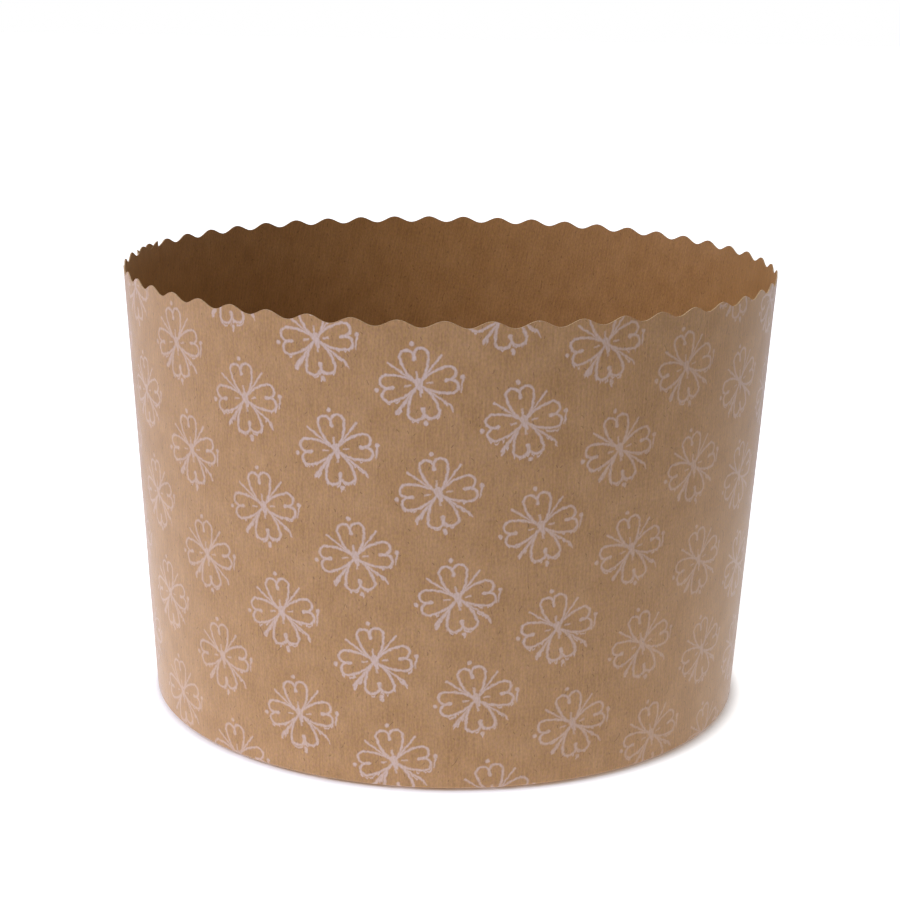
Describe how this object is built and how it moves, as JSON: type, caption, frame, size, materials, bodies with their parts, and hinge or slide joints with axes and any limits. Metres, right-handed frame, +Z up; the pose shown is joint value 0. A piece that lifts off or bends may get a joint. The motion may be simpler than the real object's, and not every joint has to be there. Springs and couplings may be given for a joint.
{
  "type": "panettone paper mold",
  "caption": "Tapered round paper baking mold: a wall strip glued at a lap, with a scalloped rim and a gathered hem under a flat vented base disc.",
  "frame": {"origin": "centre of the base, on the surface that the mold stands on", "axes": "+Z up through the open mouth, +X to the right and +Y away from the viewer in the pictured view"},
  "size_m": [0.1434, 0.1435, 0.097],
  "materials": {
    "printed_kraft": "matte",
    "base_kraft": "matte"
  },
  "bodies": {
    "root": {"side_wall": "printed_kraft", "base_disc": "base_kraft"}
  },
  "joints": []
}
